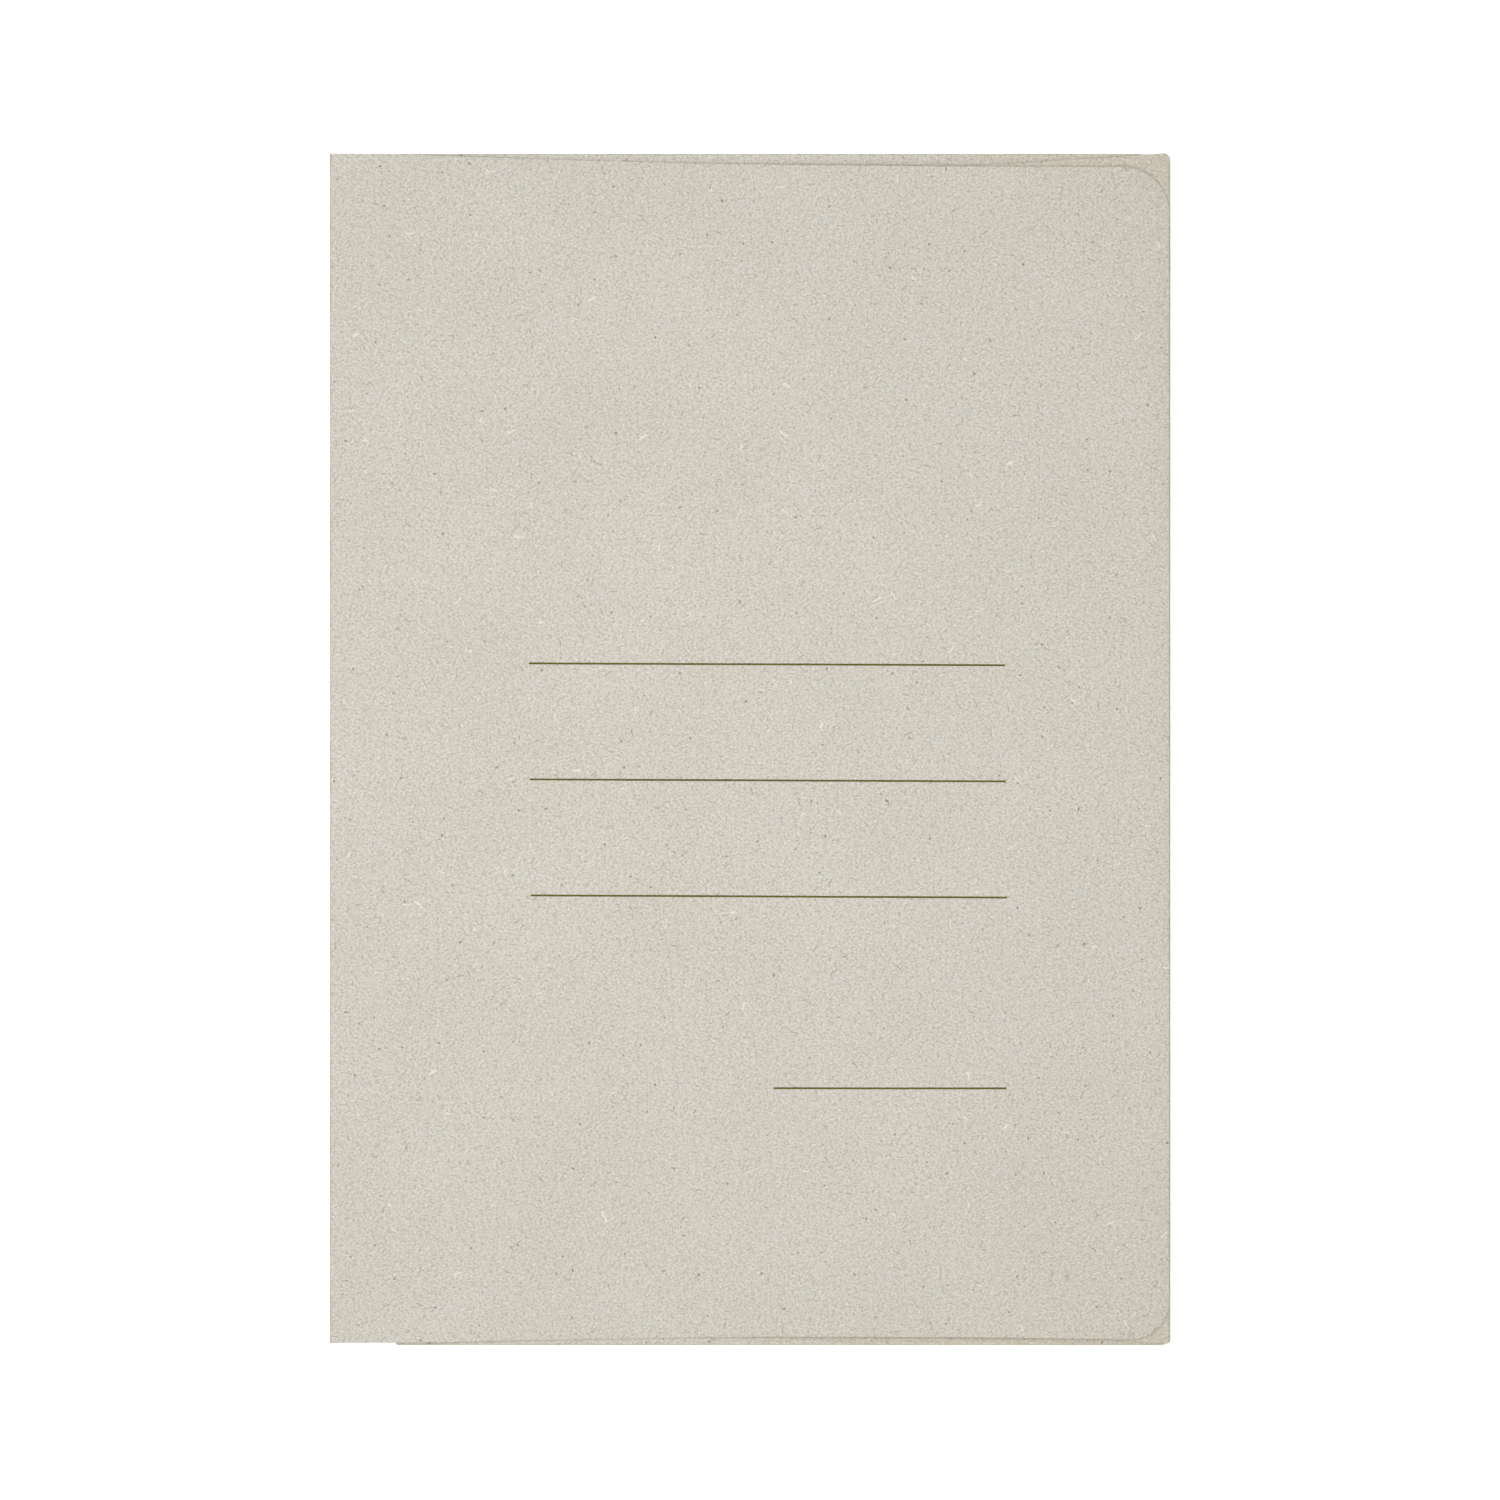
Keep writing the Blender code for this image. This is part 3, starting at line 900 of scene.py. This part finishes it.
def side_flap_sheet():
    """The flap at the fore edge."""
    folds = [(0, SIDE_FOLD_X)]
    points = new_corner(cad_outline("side_flap"), SIDE_FLAP_HIGH.xy, fore_corner())
    points = reach_fold(points, *folds[0])
    piece = sheet(
        "side_flap_sheet",
        "side_flap",
        points,
        folds,
        lying(SIDE_FLAP_LOW.z, side_flap_sag),
        lambda a, b: (SIDE_BLANK_X + (SIDE_FOLD_X - a), b),
        BOARD,
        painted_fold_shade,
        seed=4,
    )
    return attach(piece, "side_flap")


def end_flap_sheet(name, fold_y, blank_y, seed):
    """The top or the bottom flap."""
    folds = [(1, fold_y)]
    sign = 1 if fold_y > 0 else -1
    points = reach_fold(cad_outline(name), *folds[0])
    piece = sheet(
        f"{name}_sheet",
        name,
        points,
        folds,
        lying(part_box(name)[0].z, end_flap_sag),
        lambda a, b: (a, blank_y + sign * abs(fold_y - b)),
        BOARD,
        painted_fold_shade,
        seed=seed,
    )
    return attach(piece, name)


def spine_bends():
    """The two scores along the spine, each a quarter bend."""
    out = Vector((-1, 0, 0))
    quarter = math.pi / 2

    def ends(bulge):
        return CUT_BOTTOM_Y, CUT_TOP_Y

    back_middle = Vector((SCORE_X, 0, BACK_SCORE_Z))
    cover_middle = Vector((SCORE_X, 0, COVER_SCORE_Z))
    bend("back_spine_bend", "back_spine_score", back_middle, out, 0, quarter, SCORE_RADIUS, ends,
         SCORE_X, none, SCORE_SHADE_NARROWNESS)
    bend("cover_spine_bend", "cover_spine_score", cover_middle, out, quarter, 2 * quarter, SCORE_RADIUS,
         ends, COVER_SCORE_BLANK_X, none, SCORE_SHADE_NARROWNESS)


def side_bend():
    """The fold at the fore edge, rounded off at the top."""
    low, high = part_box("side_fold")

    def ends(bulge):
        return low.y + FOLD_END_SETBACK * bulge, fore_corner_y(SIDE_FOLD_X + bulge * (FORE_X - SIDE_FOLD_X))

    middle = Vector((SIDE_FOLD_X, 0, (low.z + high.z) / 2))
    out = Vector((1, 0, 0))
    bend("side_bend", "side_fold", middle, out, 0, math.pi, SIDE_RADIUS, ends,
         SIDE_FOLD_X, painted_fold_shade, FOLD_SHADE_NARROWNESS)


def end_bend(name, node, fold_y, reach, setback):
    """The fold that carries the top or the bottom flap, and where it ends by the fore edge."""
    low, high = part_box(node)

    def ends(bulge):
        return low.x + FOLD_END_SETBACK * bulge, high.x + reach - setback * bulge**2

    middle = Vector((0, fold_y, (low.z + high.z) / 2))
    out = Vector((0, 1 if fold_y > 0 else -1, 0))
    bend(name, node, middle, out, 0, math.pi, END_RADIUS, ends,
         fold_y, painted_fold_shade, FOLD_SHADE_NARROWNESS)


# Printed rules


def rules_tree(ink):
    """Geometry Nodes for printed rules: flat films of ink at an even pitch, with slightly uneven edges."""
    tree = bpy.data.node_groups.new("printed_rules", "GeometryNodeTree")
    defaults = {
        "Count": 3, "Left": 0.0, "Height": 0.0, "Length": 0.1, "Pitch": 0.03, "Drift": 0.0, "Tilt": 0.0,
        "Width": 0.0005, "Film": 0.00001, "Unevenness": 0.2, "Seed": 1,
    }
    sockets = {}
    for label, value in defaults.items():
        kind = "NodeSocketInt" if isinstance(value, int) else "NodeSocketFloat"
        socket = tree.interface.new_socket(label, in_out="INPUT", socket_type=kind)
        socket.default_value = value
        sockets[label] = socket.identifier
    tree.interface.new_socket("Geometry", in_out="OUTPUT", socket_type="NodeSocketGeometry")
    given = add(tree, "NodeGroupInput").outputs

    down = add(tree, "ShaderNodeMath", {0: given["Pitch"], 1: -1.0}, operation="MULTIPLY").outputs[0]
    step = add(tree, "ShaderNodeCombineXYZ", {"X": given["Drift"], "Y": down}).outputs[0]
    first = add(tree, "ShaderNodeCombineXYZ", {"X": given["Left"], "Y": given["Height"]}).outputs[0]
    starts = add(
        tree,
        "GeometryNodeMeshLine",
        {"Count": given["Count"], "Start Location": first, "Offset": step},
        mode="OFFSET",
    ).outputs[0]
    reach = add(tree, "ShaderNodeCombineXYZ", {"X": given["Length"]}).outputs[0]
    stroke = add(tree, "GeometryNodeCurvePrimitiveLine", {"End": reach}).outputs[0]
    turn = add(tree, "ShaderNodeCombineXYZ", {"Z": given["Tilt"]}).outputs[0]
    placed = add(
        tree, "GeometryNodeInstanceOnPoints", {"Points": starts, "Instance": stroke, "Rotation": turn}
    ).outputs[0]
    strokes = add(tree, "GeometryNodeRealizeInstances", {0: placed}).outputs[0]
    fine = add(
        tree, "GeometryNodeResampleCurve", {"Curve": strokes, "Length": RULE_STEP}, mode="LENGTH"
    ).outputs[0]
    where = add(tree, "GeometryNodeInputPosition").outputs[0]
    unsteady = add(
        tree,
        "ShaderNodeTexNoise",
        {"Vector": where, "W": given["Seed"], "Scale": 1 / RULE_UNEVEN_LENGTH, "Detail": 2.0},
        noise_dimensions="4D",
    ).outputs[0]
    spread = add(tree, "ShaderNodeMath", {0: unsteady, 1: 0.5}, operation="SUBTRACT").outputs[0]
    spread = add(
        tree, "ShaderNodeMath", {0: spread, 1: given["Unevenness"], 2: 1.0}, operation="MULTIPLY_ADD"
    ).outputs[0]
    uneven = add(tree, "GeometryNodeSetCurveRadius", {"Curve": fine, "Radius": spread}).outputs[0]
    level = add(tree, "GeometryNodeSetCurveNormal", {"Curve": uneven}, mode="Z_UP").outputs[0]
    section = add(
        tree,
        "GeometryNodeCurvePrimitiveQuadrilateral",
        {"Width": given["Width"], "Height": given["Film"]},
        mode="RECTANGLE",
    ).outputs[0]
    films = add(
        tree, "GeometryNodeCurveToMesh", {"Curve": level, "Profile Curve": section, "Fill Caps": True}
    ).outputs[0]
    whole = add(tree, "GeometryNodeRealizeInstances", {0: films}).outputs[0]
    inked = add(tree, "GeometryNodeSetMaterial", {"Geometry": whole, "Material": ink}).outputs[0]
    add(tree, "NodeGroupOutput", {0: inked})
    return tree, sockets


def printed_rules(name, tree, sockets, rule, seed):
    """One set of rules, laid on the cover."""
    holder = bpy.data.objects.new(f"{name}_holder", bpy.data.meshes.new(name))
    bpy.context.scene.collection.objects.link(holder)
    modifier = holder.modifiers.new("rules", "NODES")
    modifier.node_group = tree
    values = {
        "Count": rule["count"], "Left": rule["left"], "Height": rule["height"], "Length": rule["length"],
        "Pitch": RULE_PITCH, "Drift": RULE_DRIFT, "Tilt": math.radians(rule["tilt"]), "Width": RULE_WIDTH,
        "Film": 2 * RULE_FILM, "Unevenness": RULE_UNEVENNESS, "Seed": seed,
    }
    for label, value in values.items():
        modifier[sockets[label]] = value
    evaluated = holder.evaluated_get(bpy.context.evaluated_depsgraph_get())
    mesh = bpy.data.meshes.new_from_object(evaluated)
    bpy.data.objects.remove(holder)
    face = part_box("front_cover")[1].z
    for vertex in mesh.vertices:
        vertex.co.z += face - cover_sag(vertex.co.x, vertex.co.y)
    piece = bpy.data.objects.new(name, mesh)
    bpy.context.scene.collection.objects.link(piece)
    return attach(piece, "cover")


# Studio


def studio():
    """White sweep under soft light: a white room, a softbox above the folder and two on the left."""
    scene = bpy.context.scene
    scene.view_settings.view_transform = "Standard"
    world = bpy.data.worlds.new("studio")
    scene.world = world
    world.use_nodes = True
    background = world.node_tree.nodes["Background"]
    background.inputs["Color"].default_value = (1.0, 1.0, 1.0, 1.0)
    background.inputs["Strength"].default_value = 0.28

    bpy.ops.mesh.primitive_plane_add(size=FLOOR_SIZE, location=(0, 0, FLOOR_Z))
    floor = bpy.context.object
    floor.name = "floor"
    floor.data.materials.append(studio_floor())

    # Each softbox: where it hangs, its size in metres, and its power in watts. All face the folder
    for name, place, size, watts in (
        ("overhead_softbox", (-0.045, 0.0, 0.70), 0.5, 3.85),
        ("upper_softbox", (-0.45, 0.9, 1.1), 0.8, 3.8),
        ("lower_softbox", (-0.45, -0.9, 1.1), 0.8, 4.1),
    ):
        lamp = bpy.data.lights.new(name, "AREA")
        lamp.shape = "SQUARE"
        lamp.size = size
        lamp.energy = watts
        softbox = bpy.data.objects.new(name, lamp)
        softbox.location = place
        softbox.rotation_euler = (-softbox.location).to_track_quat("-Z", "Y").to_euler()
        softbox.visible_camera = False
        scene.collection.objects.link(softbox)


def camera():
    """Straight above the folder, as in the photograph. VIEW_WIDTH is measured at the folds' height."""
    lens = bpy.data.cameras.new("camera")
    lens.lens = LENS
    lens.sensor_width = SENSOR
    lens.clip_end = 10
    viewer = bpy.data.objects.new("camera", lens)
    low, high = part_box("side_fold")
    viewer.location = (VIEW_OFFSET.x, VIEW_OFFSET.y, (low.z + high.z) / 2 + VIEW_WIDTH * LENS / SENSOR)
    bpy.context.scene.collection.objects.link(viewer)
    bpy.context.scene.camera = viewer


back_sheet()
spine_sheet()
cover_sheet()
side_flap_sheet()
end_flap_sheet("top_flap", TOP_FOLD_Y, TOP_BLANK_Y, seed=5)
end_flap_sheet("bottom_flap", BOTTOM_FOLD_Y, BOTTOM_BLANK_Y, seed=6)
spine_bends()
side_bend()
end_bend("top_bend", "top_fold", TOP_FOLD_Y, TOP_FOLD_REACH, TOP_FOLD_SETBACK)
end_bend("bottom_bend", "bottom_fold", BOTTOM_FOLD_Y, BOTTOM_FOLD_REACH, BOTTOM_FOLD_SETBACK)

rules, rule_sockets = rules_tree(offset_ink())
printed_rules("long_rules", rules, rule_sockets, LONG_RULES, seed=1)
printed_rules("short_rule", rules, rule_sockets, SHORT_RULE, seed=2)

studio()
camera()
